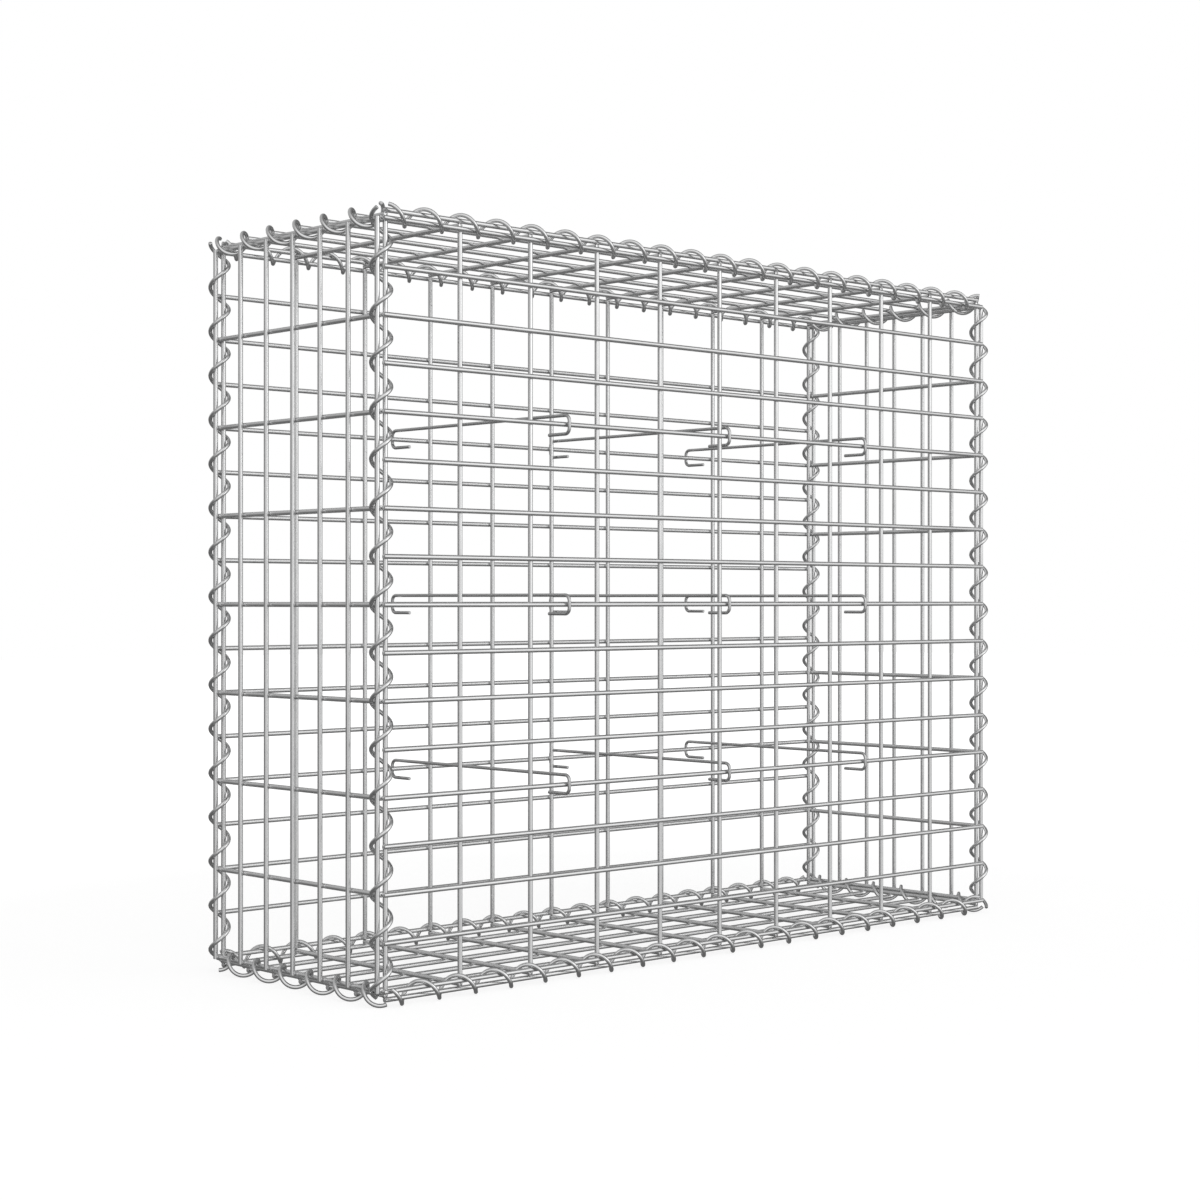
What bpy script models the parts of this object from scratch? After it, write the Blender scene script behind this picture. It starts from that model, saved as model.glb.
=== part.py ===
# Gabion basket: six welded wire panels, laced along their twelve edges by helical
# binders, with nine tie hooks between the front and the back.
# Metres, +Z up. X runs along the basket, Y from front to back. The origin is on the
# ground under the middle of the basket, which stands on its lowest binder turns.

import math

import bmesh
import bpy
from mathutils import Vector

# Driving dimensions: the grid of the welded mesh, between the edge wires' centre lines
LENGTH = 1.000
DEPTH = 0.300
HEIGHT = 0.800
FINE_PITCH = 0.050
COARSE_PITCH = 0.100

# Mesh wire: a square section, with one ridge towards the layer that it is welded to
MESH_WIRE = 0.0052
RIDGE_FACTOR = 1.04
WELD_SET_DOWN = 0.0004
SHORT_END = 0.0014
LONG_END = 0.0060

# Binders: helices with a wedge section, flat outside and a ridge towards the wires
BINDER_WIRE = 0.0045
BINDER_OUTSIDE = 0.0126
STEPS_PER_TURN = 6

# Tie hooks, at the quarters of the front: each column stands to the right of an upright
TIE_WIRE = 0.0039
LEFT_TIE_STEP = 0.0490
CENTRE_TIE_STEP = 0.0070
RIGHT_TIE_STEP = 0.0570
TIE_HALF_HEIGHT = 0.0104
TIE_BEND = 0.0065
TIE_RETURN = 0.0340
TIE_BEND_STEPS = 2

# Clearances between separate pieces
PIECE_GAP = 0.0003

# Sizes that follow from those above
MESH_RIDGE = RIDGE_FACTOR * MESH_WIRE / 2
LAYER_STEP = MESH_WIRE - WELD_SET_DOWN
END_OFFSET = LAYER_STEP + 2 * MESH_RIDGE + PIECE_GAP
LID_OFFSET = LAYER_STEP + MESH_RIDGE + SHORT_END + PIECE_GAP
BINDER_INSIDE = END_OFFSET / 2 + MESH_RIDGE + PIECE_GAP
BINDER_DROP = LID_OFFSET / 2
BINDER_STEP = 360 / STEPS_PER_TURN
BASE = BINDER_DROP + BINDER_OUTSIDE
TIE_APEX = LAYER_STEP + MESH_RIDGE + TIE_WIRE / 2 + PIECE_GAP

X = Vector((1, 0, 0))
Y = Vector((0, 1, 0))
Z = Vector((0, 0, 1))

ZINC = (0.56, 0.57, 0.58, 1.0)
BINDER_ZINC = (0.50, 0.51, 0.52, 1.0)
TIE_ZINC = (0.46, 0.47, 0.48, 1.0)


def clear_scene():
    for obj in list(bpy.data.objects):
        bpy.data.objects.remove(obj, do_unlink=True)


def zinc_material(name, colour, roughness):
    material = bpy.data.materials.new(name)
    material.use_nodes = True
    shader = material.node_tree.nodes["Principled BSDF"]
    shader.inputs["Base Color"].default_value = colour
    shader.inputs["Metallic"].default_value = 1.0
    shader.inputs["Roughness"].default_value = roughness
    return material


def skin(bm, rings):
    # Joins successive rings of points into one closed wire with capped ends
    loops = [[bm.verts.new(point) for point in ring] for ring in rings]
    sides = len(loops[0])
    for near, far in zip(loops, loops[1:]):
        for i in range(sides):
            j = (i + 1) % sides
            bm.faces.new((near[i], near[j], far[j], far[i]))
    bm.faces.new(reversed(loops[0]))
    bm.faces.new(loops[-1])


def add_object(name, bm, material):
    bmesh.ops.recalc_face_normals(bm, faces=bm.faces)
    mesh = bpy.data.meshes.new(name)
    bm.to_mesh(mesh)
    bm.free()
    mesh.materials.append(material)
    obj = bpy.data.objects.new(name, mesh)
    bpy.context.scene.collection.objects.link(obj)
    return obj


def places(size, pitch):
    # Even places from edge to edge, about one pitch apart
    count = round(size / pitch)
    return [size * i / count for i in range(count + 1)]


def straight_wire(bm, start, end, ridge_axis):
    run = (end - start).normalized()
    side = run.cross(ridge_axis)
    corners = (ridge_axis, side, -ridge_axis, -side)
    skin(bm, [[point + corner * MESH_RIDGE for corner in corners] for point in (start, end)])


def wire_layer(name, material, origin, run, length, overhang, step, steps, ridge_axis):
    # Parallel wires along run, one at each of the steps, overhanging the grid at both ends
    bm = bmesh.new()
    for place in steps:
        start = origin + step * place - run * overhang
        end = origin + step * place + run * (length + overhang)
        straight_wire(bm, start, end, ridge_axis)
    return add_object(name, bm, material)


def weld(outer, inner):
    # The inner layer is fused to the outer one at every crossing
    union = outer.modifiers.new("welds", "BOOLEAN")
    union.operation = "UNION"
    union.solver = "EXACT"
    union.object = inner
    inner.hide_render = True
    inner.display_type = "WIRE"


def panel(name, origin, long_axis, long_size, short_axis, short_size, outward, overhang):
    # Outer wires run along long_axis at the fine pitch, inner ones along short_axis at
    # the coarse pitch. The origin is the panel's grid corner in its inner layer.
    material = zinc_material(name + "_zinc", ZINC, 0.38)
    outer_origin = origin + outward * LAYER_STEP
    outer = wire_layer(name, material, outer_origin, long_axis, long_size, overhang,
                       short_axis, places(short_size, FINE_PITCH), outward)
    inner = wire_layer(name + "_inner_wires", material, origin, short_axis, short_size, SHORT_END,
                       long_axis, places(long_size, COARSE_PITCH), outward)
    weld(outer, inner)
    return outer


def build_panels():
    left, right = -LENGTH / 2, LENGTH / 2
    front, back = -DEPTH / 2, DEPTH / 2
    low, high = BASE, BASE + HEIGHT
    end_layer = END_OFFSET - LAYER_STEP
    lid_layer = LID_OFFSET - LAYER_STEP
    panel("front_panel", Vector((left, front, low)), X, LENGTH, Z, HEIGHT, -Y, LONG_END)
    panel("back_panel", Vector((left, back, low)), X, LENGTH, Z, HEIGHT, Y, LONG_END)
    panel("left_end_panel", Vector((left - end_layer, front, low)), Z, HEIGHT, Y, DEPTH, -X, SHORT_END)
    panel("right_end_panel", Vector((right + end_layer, front, low)), Z, HEIGHT, Y, DEPTH, X, SHORT_END)
    panel("base_panel", Vector((left, front, low - lid_layer)), X, LENGTH, Y, DEPTH, -Z, SHORT_END)
    panel("lid_panel", Vector((left, front, high + lid_layer)), X, LENGTH, Y, DEPTH, Z, SHORT_END)


def helix_rings(origin, run, pitch, phase, first, last, corner):
    # Right-handed, from the angle first to the angle last. Its straight steps meet at the
    # corner angle and at each step from there. Each ring is the wedge section in its
    # radial plane.
    side = Vector((run.z, run.x, run.y))
    up = run.cross(side)
    radius = (BINDER_INSIDE + BINDER_OUTSIDE) / 2
    slope = math.hypot(2 * math.pi * radius, pitch) / (2 * math.pi * radius)
    half_width = slope * BINDER_WIRE / math.sqrt(3)
    angles = [first]
    while BINDER_STEP - (angles[-1] - corner) % BINDER_STEP + angles[-1] < last - 1:
        angles.append(BINDER_STEP - (angles[-1] - corner) % BINDER_STEP + angles[-1])
    rings = []
    for angle in angles + [last]:
        off_middle = (angle - corner) % BINDER_STEP - BINDER_STEP / 2
        radial = side * math.cos(math.radians(angle)) + up * math.sin(math.radians(angle))
        radial /= math.cos(math.radians(off_middle))
        centre = origin + run * pitch * (angle - phase) / 360
        rim = centre + radial * BINDER_OUTSIDE
        ridge = centre + radial * BINDER_INSIDE
        rings.append([rim - run * half_width, rim + run * half_width, ridge])
    return rings


def binder(name, origin, run, size, corner, phase, first, last):
    turns = round(size / FINE_PITCH)
    bm = bmesh.new()
    skin(bm, helix_rings(origin, run, size / turns, phase, first, last + 360 * turns, corner))
    return add_object(name, bm, zinc_material(name + "_zinc", BINDER_ZINC, 0.34))


# For each binder, in degrees round its axis: the angle at the first and the last grid
# wire of its edge, and the angles of its cut ends at the two corners. They are taken
# from +Y towards +Z along X, from +Z towards +X along Y, and from +X towards +Y along Z.
UPRIGHT_BINDERS = {
    "front_left": (137, 80, 210),
    "back_left": (73, 30, 150),
    "front_right": (11, -60, 45),
    "back_right": (5, -75, 75),
}
LONG_BINDERS = {
    "top_front": (102, 105, 105),
    "bottom_front": (126, 135, 115),
    "top_back": (133, 135, 135),
    "bottom_back": (54.5, 60, 55),
}
CROSS_BINDERS = {
    "top_left": (0, -10, 10),
    "top_right": (340, 360, 300),
    "bottom_left": (162, 150, 180),
    "bottom_right": (120, 120, 60),
}


def side_x(edge):
    outside = LENGTH / 2 + END_OFFSET / 2
    return outside if "right" in edge else -outside


def side_z(edge):
    return BASE + HEIGHT + BINDER_DROP if "top" in edge else BASE - BINDER_DROP


def upright_origin(edge):
    y = DEPTH / 2 if "back" in edge else -DEPTH / 2
    return Vector((side_x(edge), y, BASE))


def long_origin(edge):
    outside = DEPTH / 2 + LAYER_STEP / 2
    y = outside if "back" in edge else -outside
    return Vector((-LENGTH / 2, y, side_z(edge)))


def cross_origin(edge):
    return Vector((side_x(edge), -DEPTH / 2, side_z(edge)))


def build_binders():
    # The long binders have flats that face straight down and up, the rest straight out
    for edge, angles in UPRIGHT_BINDERS.items():
        binder(edge + "_binder", upright_origin(edge), Z, HEIGHT, BINDER_STEP / 2, *angles)
    for edge, angles in LONG_BINDERS.items():
        binder(edge + "_binder", long_origin(edge), X, LENGTH, 0, *angles)
    for edge, angles in CROSS_BINDERS.items():
        binder(edge + "_binder", cross_origin(edge), Y, DEPTH, BINDER_STEP / 2, *angles)


def hook_points(side):
    # From the cut end under the horizontal wire, round its outer side, to the straight leg
    apex = side * (DEPTH / 2 + TIE_APEX)
    inward = -side
    points = [Vector((0, apex + inward * TIE_RETURN, -TIE_HALF_HEIGHT))]
    for level in (-1, 1):
        for i in range(TIE_BEND_STEPS + 1):
            turn = math.radians(90 * i / TIE_BEND_STEPS)
            if level < 0:
                turn = math.pi / 2 - turn
            y = apex + inward * TIE_BEND * (1 - math.cos(turn))
            z = level * (TIE_HALF_HEIGHT - TIE_BEND + TIE_BEND * math.sin(turn))
            points.append(Vector((0, y, z)))
    return points


def bent_rings(points, wire):
    # The wedge section along a path in the YZ plane, mitred at its bends, with the ridge
    # on the inner side of the bends
    half_width = wire / math.sqrt(3)
    normals = [(b - a).normalized().cross(X) for a, b in zip(points, points[1:])]
    rings = []
    for point, before, after in zip(points, normals[:1] + normals, normals + normals[-1:]):
        mitre = (before + after) / (1 + before.dot(after))
        rim = point + mitre * wire / 2
        ridge = point - mitre * wire / 2
        rings.append([rim - X * half_width, rim + X * half_width, ridge])
    return rings


def build_ties():
    # Each tie hooks on one horizontal wire of the front and its twin at the back
    path = hook_points(-1) + list(reversed(hook_points(1)))
    horizontals = places(HEIGHT, FINE_PITCH)
    uprights = places(LENGTH, COARSE_PITCH)
    for row, quarter in (("lower", 1), ("middle", 2), ("upper", 3)):
        height = horizontals[(len(horizontals) - 1) * quarter // 4]
        for column, quarter, step in (("left", 1, LEFT_TIE_STEP), ("centre", 2, CENTRE_TIE_STEP),
                                      ("right", 3, RIGHT_TIE_STEP)):
            along = uprights[(len(uprights) - 1) * quarter // 4] + step
            name = row + "_" + column + "_tie"
            place = Vector((along - LENGTH / 2, 0, BASE + height))
            bm = bmesh.new()
            skin(bm, bent_rings([place + point for point in path], TIE_WIRE))
            add_object(name, bm, zinc_material(name + "_zinc", TIE_ZINC, 0.32))


clear_scene()
build_panels()
build_binders()
build_ties()
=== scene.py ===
# Gabion basket: welded wire grilles, helical binders and tie hooks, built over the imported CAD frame
import math
import bpy
from mathutils import Matrix, Vector


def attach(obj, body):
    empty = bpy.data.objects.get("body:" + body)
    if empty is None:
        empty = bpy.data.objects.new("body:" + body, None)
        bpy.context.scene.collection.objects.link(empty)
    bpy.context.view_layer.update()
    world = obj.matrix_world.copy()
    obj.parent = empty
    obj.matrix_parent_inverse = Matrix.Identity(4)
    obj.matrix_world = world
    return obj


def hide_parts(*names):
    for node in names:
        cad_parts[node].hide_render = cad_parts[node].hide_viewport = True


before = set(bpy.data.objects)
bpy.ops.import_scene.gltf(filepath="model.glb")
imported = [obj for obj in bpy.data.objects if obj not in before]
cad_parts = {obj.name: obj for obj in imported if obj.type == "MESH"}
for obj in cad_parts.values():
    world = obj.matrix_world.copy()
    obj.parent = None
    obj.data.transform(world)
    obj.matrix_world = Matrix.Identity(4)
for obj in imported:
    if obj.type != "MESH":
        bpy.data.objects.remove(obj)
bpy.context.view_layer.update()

axisX, axisY, axisZ = Vector((1, 0, 0)), Vector((0, 1, 0)), Vector((0, 0, 1))
creaseAngle = math.radians(38)               # edges steeper than this stay sharp


# Helpers for node trees

class Value:  # a node socket that can be used in plain Python maths
    def __init__(self, maker, socket):
        self.maker, self.socket = maker, socket

    def out(self, name):  # another output of the same node
        return Value(self.maker, findSocket(self.socket.node.outputs, name))

    def maths(self, operation, *others):
        return self.maker.add("ShaderNodeMath", {"operation": operation}, dict(enumerate((self, *others))))

    def mathsAfter(self, operation, other):  # the same with the other value first
        return self.maker.add("ShaderNodeMath", {"operation": operation}, {0: other, 1: self})

    def __add__(self, other):
        return self.maths("ADD", other)

    __radd__ = __add__

    def __sub__(self, other):
        return self.maths("SUBTRACT", other)

    def __rsub__(self, other):
        return self.mathsAfter("SUBTRACT", other)

    def __mul__(self, other):
        return self.maths("MULTIPLY", other)

    __rmul__ = __mul__

    def __truediv__(self, other):
        return self.maths("DIVIDE", other)

    def __rtruediv__(self, other):
        return self.mathsAfter("DIVIDE", other)

    def __pow__(self, other):
        return self.maths("POWER", other)

    def __rpow__(self, other):
        return self.mathsAfter("POWER", other)

    def __gt__(self, other):
        return self.maths("GREATER_THAN", other)

    def __lt__(self, other):
        return self.maths("LESS_THAN", other)

    def clamped(self):
        return self.maths("MAXIMUM", 0.0).maths("MINIMUM", 1.0)


def findSocket(sockets, key):
    if isinstance(key, int):
        return sockets[key]
    byIdentifier = [s for s in sockets if s.identifier == key]
    return byIdentifier[0] if byIdentifier else sockets[key]


class Nodes:  # makes nodes in one tree
    def __init__(self, tree):
        self.tree = tree

    def add(self, kind, settings=None, values=None, output=0):
        node = self.tree.nodes.new(kind)
        for name, setting in (settings or {}).items():
            setattr(node, name, setting)
        for key, value in (values or {}).items():
            socket = findSocket(node.inputs, key)
            if isinstance(value, Value):
                self.tree.links.new(value.socket, socket)
            else:
                socket.default_value = value
        return Value(self, findSocket(node.outputs, output)) if node.outputs else Value(self, None)

    def mixColour(self, factor, a, b):
        return self.add("ShaderNodeMix", {"data_type": "RGBA", "blend_type": "MIX"},
                        {"Factor_Float": factor, "A_Color": a, "B_Color": b}, "Result_Color")

    def noise(self, vector, pattern, seed=None):  # with a seed the noise is cut through a fourth dimension
        sockets = {"Vector": vector, "Scale": pattern["scale"], "Detail": pattern["detail"],
                   "Roughness": pattern["rough"]}
        if seed is not None:
            sockets["W"] = seed
        dimensions = "3D" if seed is None else "4D"
        return self.add("ShaderNodeTexNoise", {"noise_dimensions": dimensions}, sockets).out("Fac")

    def joined(self, *parts):
        both = self.add("GeometryNodeJoinGeometry")
        for part in parts:
            self.tree.links.new(part.socket, both.socket.node.inputs["Geometry"])
        return both

    def placedPoints(self, count, coordinates):  # a chain of points, placed by values made from their index
        line = self.add("GeometryNodeMeshLine", {"mode": "OFFSET"},
                        {"Count": count, "Offset": (0.0, 0.0, 0.0)})
        spot = self.add("ShaderNodeCombineXYZ", None, coordinates)
        return self.add("GeometryNodeSetPosition", None, {"Geometry": line, "Position": spot})


def newShapeTree(name, inputs):  # a geometry tree with named inputs; returns its maker and those inputs
    tree = bpy.data.node_groups.new(name, "GeometryNodeTree")
    tree.interface.new_socket("Geometry", in_out="OUTPUT", socket_type="NodeSocketGeometry")
    for label, kind in inputs:
        tree.interface.new_socket(label, in_out="INPUT", socket_type="NodeSocket" + kind)
    make = Nodes(tree)
    start = make.add("NodeGroupInput")
    return make, {label: start.out(label) for label, kind in inputs}


def endShapeTree(make, geometry):
    make.add("NodeGroupOutput", None, {"Geometry": geometry})
    return make.tree


def bakePiece(name, tree, values, place, path=None):
    # runs a geometry tree once, keeps the plain mesh it makes and puts it in place
    base = bpy.data.meshes.new(name + "Path")
    if path:
        base.from_pydata(path, [(i, i + 1) for i in range(len(path) - 1)], [])
    piece = bpy.data.objects.new(name, base)
    bpy.context.scene.collection.objects.link(piece)
    modifier = piece.modifiers.new("shape", "NODES")
    modifier.node_group = tree
    for item in tree.interface.items_tree:
        if item.item_type == "SOCKET" and item.in_out == "INPUT" and item.name in values:
            modifier[item.identifier] = values[item.name]
    graph = bpy.context.evaluated_depsgraph_get()
    mesh = bpy.data.meshes.new_from_object(piece.evaluated_get(graph), preserve_all_data_layers=True,
                                           depsgraph=graph)
    piece.modifiers.remove(modifier)
    piece.data = mesh
    bpy.data.meshes.remove(base)
    mesh.name = name
    mesh.transform(place)
    mesh.set_sharp_from_angle(angle=creaseAngle)
    return piece


def placing(origin, along, across, out):  # a tree's X, Y and Z as directions of the basket
    turn = Matrix((along, across, out)).transposed().to_4x4()
    return Matrix.Translation(origin) @ turn


# Galvanised finishes

zincLook = {
    "meshWire": {"bright": 0.80, "dull": 0.68, "roughness": 0.22, "streak": 0.18, "bump": 0.000004,
                 "seed": 3.1},
    "binderWire": {"bright": 0.76, "dull": 0.66, "roughness": 0.13, "streak": 0.24, "bump": 0.000004,
                   "seed": 7.7},
    "tieWire": {"bright": 0.62, "dull": 0.50, "roughness": 0.27, "streak": 0.24, "bump": 0.000008,
                "seed": 12.4},
    # the weld beads' colour is set darker than the wires as painted shade, the shadow where the crossing
    # wires meet
    "weldSpotShade": {"bright": 0.62, "dull": 0.46, "roughness": 0.36, "streak": 0.06, "bump": 0.000020,
                 "seed": 5.2},
    "tint": (0.998, 1.0, 1.002),                                    # zinc is a very slightly blue grey
    "cloud": {"scale": 26.0, "detail": 3.0, "rough": 0.55},         # soft patches a few centimetres long
    "lines": {"scale": 5.0, "detail": 4.0, "rough": 0.60},          # drawn lines along the wire
    "speck": {"scale": 420.0, "detail": 2.0, "rough": 0.50},        # spots two or three millimetres across
    "spangleScale": 780.0,                                          # crystals over a millimetre across
    "shadeSwing": {"cloud": 1.5, "spangle": 0.10, "tone": 0.25},    # between dull and bright
    "roughSwing": {"cloud": 0.12, "spangle": 0.06, "speck": 0.15},
    "speckFrom": 0.66, "speckEdge": 9.0, "speckCover": 0.5,         # only the noise's peaks make spots
    "speckLift": 1.08, "speckBump": 0.5,
}


def swing(pattern, amount):  # a 0 to 1 pattern as a swing to both sides of nought
    return (pattern - 0.5) * amount


def zincFinish(name, look):
    material = bpy.data.materials.new(name)
    material.use_nodes = True
    make = Nodes(material.node_tree)
    shader = material.node_tree.nodes["Principled BSDF"]
    place = make.add("ShaderNodeTexCoord").out("Object")
    grain = make.add("ShaderNodeAttribute", {"attribute_name": "wireGrain"}).out("Vector")
    tone = make.add("ShaderNodeAttribute", {"attribute_name": "wireTone"}).out("Fac")

    cloud = make.noise(place, zincLook["cloud"], look["seed"])
    crystals = make.add("ShaderNodeTexVoronoi", {"feature": "F1"},
                        {"Vector": place, "Scale": zincLook["spangleScale"], "Randomness": 1.0})
    spangle = make.add("ShaderNodeSeparateColor", None, {"Color": crystals.out("Color")}).out("Red")
    lines = make.noise(grain, zincLook["lines"])
    speck = make.noise(place, zincLook["speck"])

    depth = zincLook["shadeSwing"]
    shade = swing(cloud, depth["cloud"]) + 0.5
    shade = shade + swing(spangle, depth["spangle"]) + swing(lines, look["streak"])
    shade = (shade + swing(tone, depth["tone"])).clamped()
    tint = zincLook["tint"]
    dull = tuple(look["dull"] * t for t in tint) + (1.0,)
    bright = tuple(look["bright"] * t for t in tint) + (1.0,)
    colour = make.mixColour(shade, dull, bright)
    # small pale spots of white rust
    specks = ((speck - zincLook["speckFrom"]) * zincLook["speckEdge"]).clamped() * zincLook["speckCover"]
    stain = tuple(look["bright"] * zincLook["speckLift"] * t for t in tint) + (1.0,)
    colour = make.mixColour(specks, colour, stain)
    material.node_tree.links.new(colour.socket, shader.inputs["Base Color"])

    depth = zincLook["roughSwing"]
    rough = swing(spangle, depth["spangle"]) + swing(cloud, depth["cloud"]) + specks * depth["speck"]
    rough = (rough + look["roughness"]).clamped()
    material.node_tree.links.new(rough.socket, shader.inputs["Roughness"])
    height = lines + speck * zincLook["speckBump"]
    bump = make.add("ShaderNodeBump", None, {"Height": height, "Distance": look["bump"], "Strength": 1.0})
    material.node_tree.links.new(bump.out("Normal").socket, shader.inputs["Normal"])
    shader.inputs["Metallic"].default_value = 1.0
    return material


meshZinc = zincFinish("meshZinc", zincLook["meshWire"])
binderZinc = zincFinish("binderZinc", zincLook["binderWire"])
tieZinc = zincFinish("tieZinc", zincLook["tieWire"])
# the weld finish carries painted shade: its darker colour stands for the shadow at each crossing
weldShadeZinc = zincFinish("weldShadeZinc", zincLook["weldSpotShade"])
print("finishes ready")


# One round wire drawn along a curve

wireSection = {
    "sides": 14, "endScale": 0.80,
    "grainRadius": 0.00225,                  # the grain is measured in wire radii round the section
    "grainLength": 0.045,                    # only this share of the length counts, which draws it out
    "grainShift": 7.0,                       # moves each wire's grain by its own random tone
}


def drawnWireTree():
    # sweeps a round section along curves, with lightly rounded cut ends and the grain stored on it
    make, given = newShapeTree("drawnWire", [("Curve", "Geometry"), ("Diameter", "Float"), ("Seed", "Int")])
    curve = given["Curve"]
    along = make.add("GeometryNodeSplineParameter").out("Length")
    curve = make.add("GeometryNodeStoreNamedAttribute", {"data_type": "FLOAT", "domain": "POINT"},
                     {"Geometry": curve, "Name": "wireLength", "Value": along})
    owner = make.add("GeometryNodeCurveOfPoint").out("Curve Index")
    chance = make.add("FunctionNodeRandomValue", {"data_type": "FLOAT"},
                      {"Min_001": 0.0, "Max_001": 1.0, "ID": owner, "Seed": given["Seed"]}, "Value_001")
    curve = make.add("GeometryNodeStoreNamedAttribute", {"data_type": "FLOAT", "domain": "POINT"},
                     {"Geometry": curve, "Name": "wireTone", "Value": chance})
    section = make.add("GeometryNodeCurvePrimitiveCircle", {"mode": "RADIUS"},
                       {"Resolution": wireSection["sides"], "Radius": given["Diameter"] * 0.5})
    section = make.add("GeometryNodeStoreNamedAttribute", {"data_type": "FLOAT_VECTOR", "domain": "POINT"},
                       {"Geometry": section, "Name": "wireSide",
                        "Value": make.add("GeometryNodeInputPosition")})
    isEnd = make.add("GeometryNodeCurveEndpointSelection", None, {"Start Size": 1, "End Size": 1})
    scale = make.add("GeometryNodeSwitch", {"input_type": "FLOAT"},
                     {"Switch": isEnd, "False": 1.0, "True": wireSection["endScale"]})
    mesh = make.add("GeometryNodeCurveToMesh", None,
                    {"Curve": curve, "Profile Curve": section, "Scale": scale, "Fill Caps": True})
    length = make.add("GeometryNodeInputNamedAttribute", {"data_type": "FLOAT"}, {"Name": "wireLength"})
    side = make.add("GeometryNodeInputNamedAttribute", {"data_type": "FLOAT_VECTOR"}, {"Name": "wireSide"})
    sides = make.add("ShaderNodeSeparateXYZ", None, {"Vector": side})
    radius, shift = wireSection["grainRadius"], chance * wireSection["grainShift"]
    grain = make.add("ShaderNodeCombineXYZ", None,
                     {"X": length * (wireSection["grainLength"] / radius) + shift,
                      "Y": sides.out("X") * (1.0 / radius), "Z": sides.out("Y") * (1.0 / radius)})
    mesh = make.add("GeometryNodeStoreNamedAttribute", {"data_type": "FLOAT_VECTOR", "domain": "POINT"},
                    {"Geometry": mesh, "Name": "wireGrain", "Value": grain})
    for spare in ("wireLength", "wireSide"):
        mesh = make.add("GeometryNodeRemoveAttribute", None, {"Geometry": mesh, "Name": spare})
    mesh = make.add("GeometryNodeSetShadeSmooth", None, {"Geometry": mesh, "Shade Smooth": True})
    return endShapeTree(make, mesh)


drawnWire = drawnWireTree()


def sweepWire(make, curve, diameter, seed):
    return make.add("GeometryNodeGroup", {"node_tree": drawnWire},
                    {"Curve": curve, "Diameter": diameter, "Seed": seed}, "Geometry")


# Welded grilles

basket = {
    "length": 1.000, "depth": 0.300, "height": 0.800,   # between the edge wires' centre lines
    "finePitch": 0.050, "coarsePitch": 0.100,
    "base": 0.017202,                                    # height of the lowest grid line
    "layerStep": 0.0048,                                 # outer wires lie on the inner ones
    "endOffset": 0.010508,                               # an end's outer wires, out from the grid
    "lidOffset": 0.009204,                               # the base's and lid's outer wires
}

grille = {
    "diameter": 0.0054, "shortEnd": 0.0014, "longEnd": 0.0060, "cutChamfer": 0.00035,
    "weldWidth": 0.0058, "weldHeight": 0.0024,           # the bead squeezed out at a crossing
    "weldSides": 8, "weldRings": 5,
    "widthShares": (0.90, 1.10), "heightShares": (0.85, 1.10),
    "weldTurn": 6.28,                                    # each bead is turned by up to this many radians
}


def straightWires(make, count, pitch, length, sideways, lift):
    # parallel wires, each with a second point just inside its cut ends for the chamfer
    index = make.add("GeometryNodeInputIndex")
    chamfer = grille["cutChamfer"]
    at = (index > 0.5) * chamfer + (index > 1.5) * (length - 2 * chamfer) + (index > 2.5) * chamfer
    at = at - length * 0.5
    line = make.placedPoints(4, {"Y": at} if sideways else {"X": at})
    wire = make.add("GeometryNodeMeshToCurve", None, {"Mesh": line})
    place = (index - (count - 1.0) * 0.5) * pitch
    row = make.placedPoints(count, {"X" if sideways else "Y": place, "Z": lift})
    wires = make.add("GeometryNodeInstanceOnPoints", None, {"Points": row, "Instance": wire})
    return make.add("GeometryNodeRealizeInstances", None, {"Geometry": wires})


def weldBeads(make, given):
    # a squeezed bead of metal at every crossing
    grid = make.add("GeometryNodeMeshGrid", None,
                    {"Size X": (given["Inner Count"] - 1.0) * given["Inner Pitch"],
                     "Size Y": (given["Outer Count"] - 1.0) * given["Outer Pitch"],
                     "Vertices X": given["Inner Count"], "Vertices Y": given["Outer Count"]}, "Mesh")
    between = make.add("ShaderNodeCombineXYZ", None, {"Z": given["Layer Step"] * 0.5})
    grid = make.add("GeometryNodeSetPosition", None, {"Geometry": grid, "Offset": between})
    bead = make.add("GeometryNodeMeshUVSphere", None,
                    {"Segments": grille["weldSides"], "Rings": grille["weldRings"], "Radius": 0.5}, "Mesh")
    bead = make.add("GeometryNodeSetShadeSmooth", None, {"Geometry": bead, "Shade Smooth": True})
    least, most = ((grille["weldWidth"] * wide, grille["weldWidth"] * wide, grille["weldHeight"] * high)
                   for wide, high in zip(grille["widthShares"], grille["heightShares"]))
    size = make.add("FunctionNodeRandomValue", {"data_type": "FLOAT_VECTOR"},
                    {"Min": least, "Max": most, "Seed": given["Seed"]}, "Value")
    turn = make.add("FunctionNodeRandomValue", {"data_type": "FLOAT_VECTOR"},
                    {"Min": (0.0, 0.0, 0.0), "Max": (0.0, 0.0, grille["weldTurn"]), "Seed": given["Seed"]},
                    "Value")
    beads = make.add("GeometryNodeInstanceOnPoints", None,
                     {"Points": grid, "Instance": bead, "Rotation": turn, "Scale": size})
    beads = make.add("GeometryNodeRealizeInstances", None, {"Geometry": beads})
    return make.add("GeometryNodeSetMaterial", None, {"Geometry": beads, "Material": weldShadeZinc})


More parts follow.
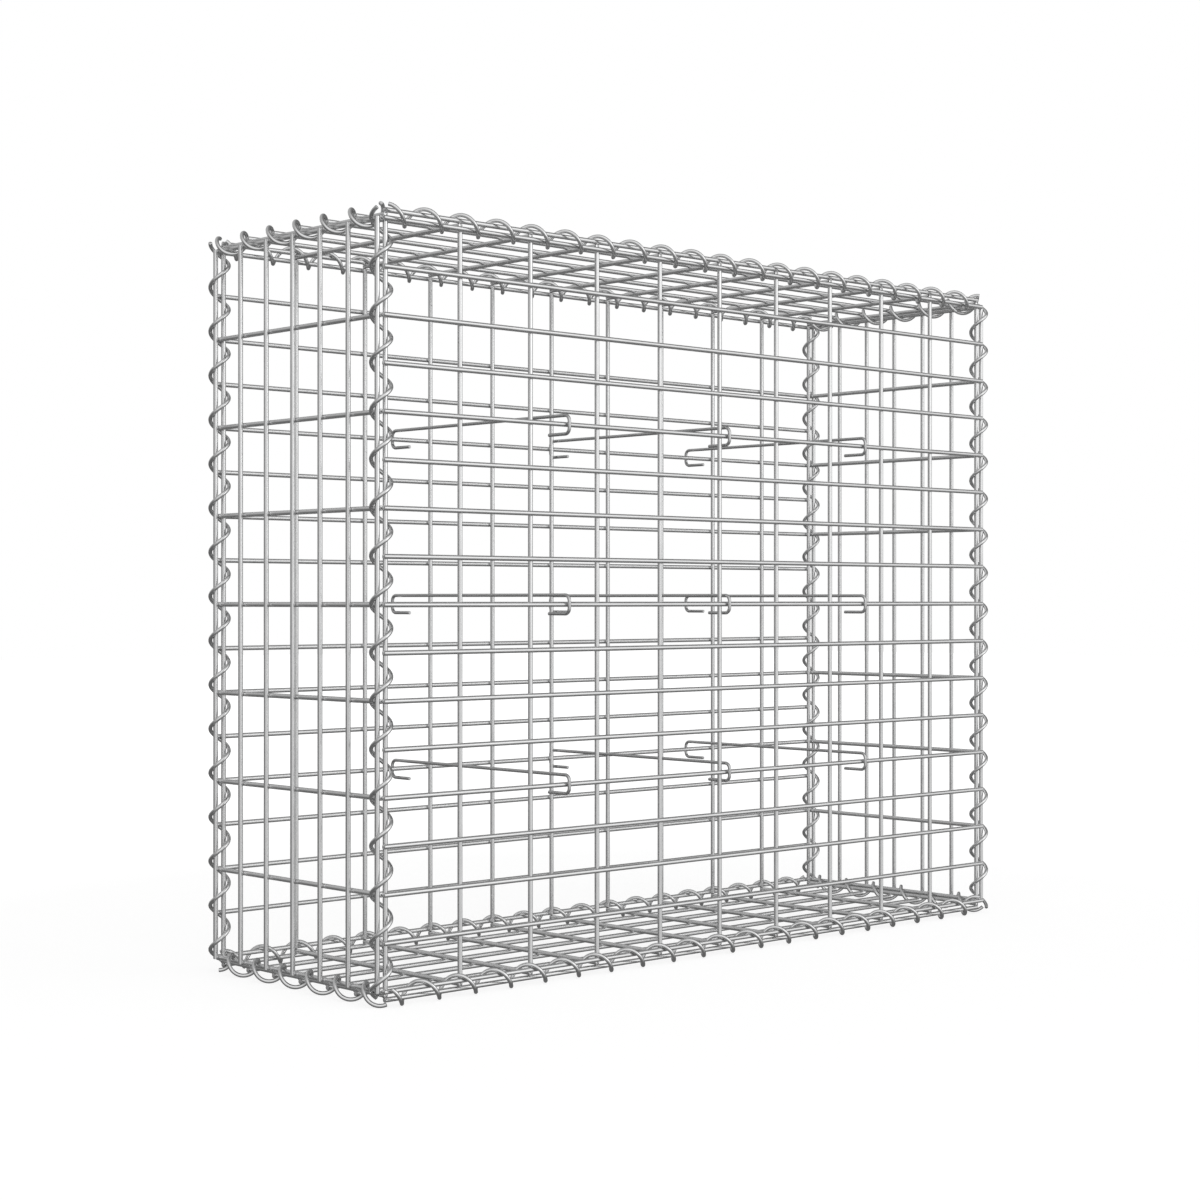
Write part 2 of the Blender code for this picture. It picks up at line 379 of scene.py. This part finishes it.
def weldedGrilleTree():
    make, given = newShapeTree("weldedGrille", [
        ("Outer Length", "Float"), ("Outer Count", "Int"), ("Outer Pitch", "Float"),
        ("Inner Length", "Float"), ("Inner Count", "Int"), ("Inner Pitch", "Float"),
        ("Layer Step", "Float"), ("Diameter", "Float"), ("Seed", "Int")])
    outer = straightWires(make, given["Outer Count"], given["Outer Pitch"], given["Outer Length"], False,
                          given["Layer Step"])
    inner = straightWires(make, given["Inner Count"], given["Inner Pitch"], given["Inner Length"], True, 0.0)
    outer = sweepWire(make, outer, given["Diameter"], given["Seed"])
    inner = sweepWire(make, inner, given["Diameter"], given["Seed"] + 1.0)
    wires = make.add("GeometryNodeSetMaterial", None,
                     {"Geometry": make.joined(inner, outer), "Material": meshZinc})
    both = make.joined(wires, weldBeads(make, given))
    return endShapeTree(make, make.add("GeometryNodeRealizeInstances", None, {"Geometry": both}))


weldedGrille = weldedGrilleTree()


def makePanel(name, centre, along, alongSize, acrossSize, out, overhang, seed):
    # the outer wires run along, the inner ones across; centre lies in the inner layer
    values = {
        "Outer Length": alongSize + 2 * overhang,
        "Outer Count": round(acrossSize / basket["finePitch"]) + 1, "Outer Pitch": basket["finePitch"],
        "Inner Length": acrossSize + 2 * grille["shortEnd"],
        "Inner Count": round(alongSize / basket["coarsePitch"]) + 1, "Inner Pitch": basket["coarsePitch"],
        "Layer Step": basket["layerStep"], "Diameter": grille["diameter"], "Seed": seed}
    piece = bakePiece(name + "Grille", weldedGrille, values, placing(centre, along, out.cross(along), out))
    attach(piece, "root")
    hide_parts(name)


halfLength, halfDepth, halfHeight = basket["length"] / 2, basket["depth"] / 2, basket["height"] / 2
middle = basket["base"] + halfHeight
# how far out the inner wires lie of the ends, and of the base and the lid
endLayer = basket["endOffset"] - basket["layerStep"]
lidLayer = basket["lidOffset"] - basket["layerStep"]
for name, centre, along, alongSize, acrossSize, out, overhang, seed in (
        ("front_panel", (0, -halfDepth, middle), axisX, "length", "height", -axisY, "longEnd", 11),
        ("back_panel", (0, halfDepth, middle), axisX, "length", "height", axisY, "longEnd", 23),
        ("left_end_panel", (-halfLength - endLayer, 0, middle), axisZ, "height", "depth", -axisX,
         "shortEnd", 37),
        ("right_end_panel", (halfLength + endLayer, 0, middle), axisZ, "height", "depth", axisX,
         "shortEnd", 41),
        ("base_panel", (0, 0, middle - halfHeight - lidLayer), axisX, "length", "depth", -axisZ,
         "shortEnd", 59),
        ("lid_panel", (0, 0, middle + halfHeight + lidLayer), axisX, "length", "depth", axisZ,
         "shortEnd", 67)):
    makePanel(name, Vector(centre), along, basket[alongSize], basket[acrossSize], out, grille[overhang],
              seed)
print("grilles ready")


# Helical binders

binder = {"diameter": 0.0045, "outside": 0.0126, "stepsPerTurn": 40, "cutChamfer": 0.00035}

# For each binder the angle at the first grid wire, then the angles of the two cut ends, in degrees.
# Four first angles are 1 to 8 degrees off the solids' angles, so that the round coils clear the wires.
binderTurns = {
    "front_left": (138, 80, 210), "back_left": (81, 30, 150),
    "front_right": (11, -60, 45), "back_right": (5, -75, 75),
    "top_front": (102, 105, 105), "bottom_front": (126, 135, 115),
    "top_back": (133, 135, 135), "bottom_back": (54.5, 60, 55),
    "top_left": (0, -10, 10), "top_right": (348, 360, 300),
    "bottom_left": (168, 150, 180), "bottom_right": (120, 120, 60),
}


def helicalBinderTree():
    make, given = newShapeTree("helicalBinder", [
        ("Steps", "Int"), ("First Angle", "Float"), ("Last Angle", "Float"), ("Phase", "Float"),
        ("Pitch", "Float"), ("Radius", "Float"), ("Diameter", "Float"), ("End Share", "Float"),
        ("Seed", "Int")])
    index, steps, endShare = make.add("GeometryNodeInputIndex"), given["Steps"], given["End Share"]
    # the first and the last step are the short chamfers of the cut ends, the others are all alike
    inner = ((index - 1.0) / (steps - 3.0)).clamped()
    share = (index > 0.5) * endShare + inner * (1.0 - endShare * 2.0) + (index > steps - 1.5) * endShare
    angle = given["First Angle"] + (given["Last Angle"] - given["First Angle"]) * share
    turn = angle * (math.pi / 180)
    line = make.placedPoints(given["Steps"], {
        "X": (angle - given["Phase"]) * given["Pitch"] / 360.0,
        "Y": turn.maths("COSINE") * given["Radius"], "Z": turn.maths("SINE") * given["Radius"]})
    curve = make.add("GeometryNodeMeshToCurve", None, {"Mesh": line})
    mesh = sweepWire(make, curve, given["Diameter"], given["Seed"])
    mesh = make.add("GeometryNodeRealizeInstances", None, {"Geometry": mesh})
    mesh = make.add("GeometryNodeSetMaterial", None, {"Geometry": mesh, "Material": binderZinc})
    return endShapeTree(make, mesh)


helicalBinder = helicalBinderTree()


def makeBinder(edge, origin, along, size, seed):
    phase, first, last = binderTurns[edge]
    turns = round(size / basket["finePitch"])
    last += 360 * turns
    radius = binder["outside"] - binder["diameter"] / 2
    pitch = size / turns
    arc = math.radians(last - first) * math.hypot(radius, pitch / (2 * math.pi))
    values = {"Steps": round((last - first) / 360 * binder["stepsPerTurn"]) + 3,
              "First Angle": float(first), "Last Angle": float(last), "Phase": float(phase), "Pitch": pitch,
              "Radius": radius, "Diameter": binder["diameter"], "End Share": binder["cutChamfer"] / arc,
              "Seed": seed}
    side = Vector((along.z, along.x, along.y))
    place = placing(origin, along, side, along.cross(side))
    piece = bakePiece(edge + "_binderCoil", helicalBinder, values, place)
    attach(piece, "root")
    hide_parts(edge + "_binder")


# each binder's axis runs midway between the edge wires of its two panels
endAxis = halfLength + basket["endOffset"] / 2
longAxis = halfDepth + basket["layerStep"] / 2
lidAxis = basket["lidOffset"] / 2
for seed, edge in enumerate(binderTurns, 101):
    x = endAxis if "right" in edge else -endAxis
    z = basket["base"] + (basket["height"] + lidAxis if "top" in edge else -lidAxis)
    if edge in ("front_left", "back_left", "front_right", "back_right"):
        y = halfDepth if "back" in edge else -halfDepth
        makeBinder(edge, Vector((x, y, basket["base"])), axisZ, basket["height"], seed)
    elif "front" in edge or "back" in edge:
        y = longAxis if "back" in edge else -longAxis
        makeBinder(edge, Vector((-halfLength, y, z)), axisX, basket["length"], seed)
    else:
        makeBinder(edge, Vector((x, -halfDepth, z)), axisY, basket["depth"], seed)
print("binders ready")


# Tie hooks

tie = {
    "diameter": 0.0039, "bend": 0.0065, "bendSteps": 7, "cutChamfer": 0.0003,
    "apex": 0.009754,                        # the hook's outer leg, out from the front and back grid
    "halfHeight": 0.0104, "return": 0.0340,  # of the hook, and how far its cut end runs back in
    "mergeWithin": 0.00001,
    "columns": {"left": 0.249, "centre": 0.507, "right": 0.757},   # from the left edge wire
    "rows": {"lower": 0.200, "middle": 0.400, "upper": 0.600},     # above the lowest grid line
}


def tieHookTree():
    make, given = newShapeTree("tieHook", [
        ("Geometry", "Geometry"), ("Bend", "Float"), ("Bend Steps", "Int"), ("Diameter", "Float"),
        ("Seed", "Int")])
    curve = make.add("GeometryNodeMeshToCurve", None, {"Mesh": given["Geometry"]})
    curve = make.add("GeometryNodeFilletCurve", {"mode": "POLY"},
                     {"Curve": curve, "Count": given["Bend Steps"], "Radius": given["Bend"],
                      "Limit Radius": True})
    mesh = sweepWire(make, curve, given["Diameter"], given["Seed"])
    # the fillet repeats the straight points near the cut ends, so their rings are merged
    mesh = make.add("GeometryNodeMergeByDistance", None, {"Geometry": mesh, "Distance": tie["mergeWithin"]})
    mesh = make.add("GeometryNodeRealizeInstances", None, {"Geometry": mesh})
    mesh = make.add("GeometryNodeSetMaterial", None, {"Geometry": mesh, "Material": tieZinc})
    return endShapeTree(make, mesh)


tieHook = tieHookTree()


def makeTie(name, x, z, seed):
    reach = halfDepth + tie["apex"]
    path = []
    # the cut end, the point just inside it, then round the hook to the straight leg
    for side in (-1, 1):
        hook = [(x, side * (reach - tie["return"]), z - tie["halfHeight"]),
                (x, side * (reach - tie["return"] + tie["cutChamfer"]), z - tie["halfHeight"]),
                (x, side * reach, z - tie["halfHeight"]), (x, side * reach, z + tie["halfHeight"])]
        path += hook if side < 0 else hook[::-1]
    values = {"Bend": tie["bend"], "Bend Steps": tie["bendSteps"], "Diameter": tie["diameter"], "Seed": seed}
    piece = bakePiece(name + "Hook", tieHook, values, Matrix.Identity(4), path)
    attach(piece, "root")
    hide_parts(name)


seed = 200
for row, height in tie["rows"].items():
    for column, along in tie["columns"].items():
        makeTie(row + "_" + column + "_tie", along - halfLength, basket["base"] + height, seed)
        seed += 1
print("ties ready")


# Studio

studio = {
    "floorTone": 0.30, "floorRoughness": 0.9, "floorReach": 12.0,
    "floorGlow": 0.82, "farFrom": 0.9, "farTo": 2.6,      # near the basket, and where it grows to full
    "backdropInMetal": 0.02,              # the share of the white backdrop that the wires mirror
    "dim": 0.14,                          # the unlit walls
    # these three go by the height of the mirrored direction, from -1 straight down to 1 straight up
    "ceiling": {"level": 0.07, "edge": 0.05, "full": 0.70},
    "rise": {"level": 0.30, "edge": -0.10, "full": 0.20},          # the softboxes are brighter higher up
    "fall": {"level": 0.60, "edge": -0.75, "full": -0.05},         # and fade towards the floor
    # seen from the basket: direction, level, and the cosines at which the edge starts and the light is full
    "softboxes": (
        {"from": (-0.22, -0.97, 0.02), "level": 0.84, "edge": -0.03, "full": 0.74},
        {"from": (0.71, -0.70, 0.02), "level": 0.42, "edge": 0.72, "full": 0.98},
        {"from": (-0.35, 0.62, 0.70), "level": 0.32, "edge": 0.30, "full": 0.92},
    ),
    "keyPlace": (0.4, -2.9, 1.1), "keyAim": (0, 0, 0.4), "keySize": 1.6, "keyPower": 4.0,
}


def softEdge(value, light):  # from 0 at the light's edge to its level where it is full
    share = ((value - light["edge"]) / (light["full"] - light["edge"])).clamped()
    return share * share * (3.0 - share * 2.0) * light["level"]


def makeFloor():
    floorMesh = bpy.data.meshes.new("floor")
    reach = studio["floorReach"]
    corners = [(-reach, -reach, 0), (reach, -reach, 0), (reach, reach, 0), (-reach, reach, 0)]
    floorMesh.from_pydata(corners, [], [(0, 1, 2, 3)])
    floor = bpy.data.objects.new("floor", floorMesh)
    bpy.context.scene.collection.objects.link(floor)
    material = bpy.data.materials.new("floorPaper")
    material.use_nodes = True
    make = Nodes(material.node_tree)
    shader = material.node_tree.nodes["Principled BSDF"]
    tone = studio["floorTone"]
    shader.inputs["Base Color"].default_value = (tone, tone, tone, 1)
    shader.inputs["Roughness"].default_value = studio["floorRoughness"]
    shader.inputs["Specular IOR Level"].default_value = 0.0
    rays = make.add("ShaderNodeLightPath")
    place = make.add("ShaderNodeSeparateXYZ", None, {"Vector": make.add("ShaderNodeTexCoord").out("Object")})
    away = (place.out("X") ** 2.0 + place.out("Y") ** 2.0) ** 0.5
    far = ((away - studio["farFrom"]) / (studio["farTo"] - studio["farFrom"])).clamped()
    shown = (rays.out("Is Camera Ray") + rays.out("Is Transmission Ray")).clamped()
    glow = (far * (1.0 - studio["floorGlow"]) + studio["floorGlow"]) * shown
    shine = make.add("ShaderNodeEmission", None, {"Color": (1, 1, 1, 1), "Strength": glow})
    both = make.add("ShaderNodeAddShader", None, {0: Value(make, shader.outputs[0]), 1: shine})
    # the wires mirror the world's lower half in place of the paper, so that low wires shine like high ones
    clear = make.add("ShaderNodeBsdfTransparent")
    passing = (rays.out("Is Glossy Ray") + rays.out("Is Shadow Ray")).clamped()
    surface = make.add("ShaderNodeMixShader", None, {0: passing, 1: both, 2: clear})
    output = material.node_tree.nodes["Material Output"]
    material.node_tree.links.new(surface.socket, output.inputs["Surface"])
    floorMesh.materials.append(material)


def makeWorld():
    # the camera sees plain white, the wires mostly see the softboxes and the dim walls
    world = bpy.data.worlds.new("studio")
    bpy.context.scene.world = world
    world.use_nodes = True
    make = Nodes(world.node_tree)
    sky = world.node_tree.nodes["Background"]
    looking = make.add("ShaderNodeTexCoord").out("Generated")
    height = make.add("ShaderNodeSeparateXYZ", None, {"Vector": looking}).out("Z")
    glow = softEdge(height, studio["ceiling"]) + studio["dim"]
    rise = (softEdge(height, studio["rise"]) + softEdge(height, studio["fall"])
            + (1.0 - studio["rise"]["level"] - studio["fall"]["level"]))
    for softbox in studio["softboxes"]:
        towards = Vector(softbox["from"]).normalized()
        facing = make.add("ShaderNodeVectorMath", {"operation": "DOT_PRODUCT"},
                          {0: looking, 1: tuple(towards)}, "Value")
        glow = glow + softEdge(facing, softbox) * rise
    rays = make.add("ShaderNodeLightPath")
    seen = (rays.out("Is Camera Ray") + rays.out("Is Transmission Ray")
            + rays.out("Is Glossy Ray") * studio["backdropInMetal"]).clamped()
    strength = glow * (1.0 - seen) + seen
    world.node_tree.links.new(strength.socket, sky.inputs["Strength"])
    sky.inputs["Color"].default_value = (1, 1, 1, 1)


def makeKeyLight():
    lamp = bpy.data.lights.new("softKey", "AREA")
    lamp.shape, lamp.size, lamp.energy = "DISK", studio["keySize"], studio["keyPower"]
    key = bpy.data.objects.new("softKey", lamp)
    bpy.context.scene.collection.objects.link(key)
    key.location = studio["keyPlace"]
    aim = Vector(studio["keyAim"]) - Vector(studio["keyPlace"])
    key.rotation_euler = aim.to_track_quat("-Z", "Y").to_euler()


makeFloor()
makeWorld()
makeKeyLight()

# the photograph's viewpoint: level, at about the basket's middle height, from the front left
viewpoint = {"lens": 65.54, "sensor": 36.0, "farthest": 60.0,
             "place": (-1.8845, -1.95245, 0.42215), "heading": -0.7530}
cameraLens = bpy.data.cameras.new("camera")
cameraLens.lens, cameraLens.sensor_width = viewpoint["lens"], viewpoint["sensor"]
cameraLens.clip_end = viewpoint["farthest"]
camera = bpy.data.objects.new("camera", cameraLens)
bpy.context.scene.collection.objects.link(camera)
camera.location = viewpoint["place"]
camera.rotation_euler = (math.pi / 2, 0, viewpoint["heading"])
bpy.context.scene.camera = camera
bpy.context.scene.view_settings.view_transform = "Standard"
print("studio ready")

bpy.context.view_layer.update()
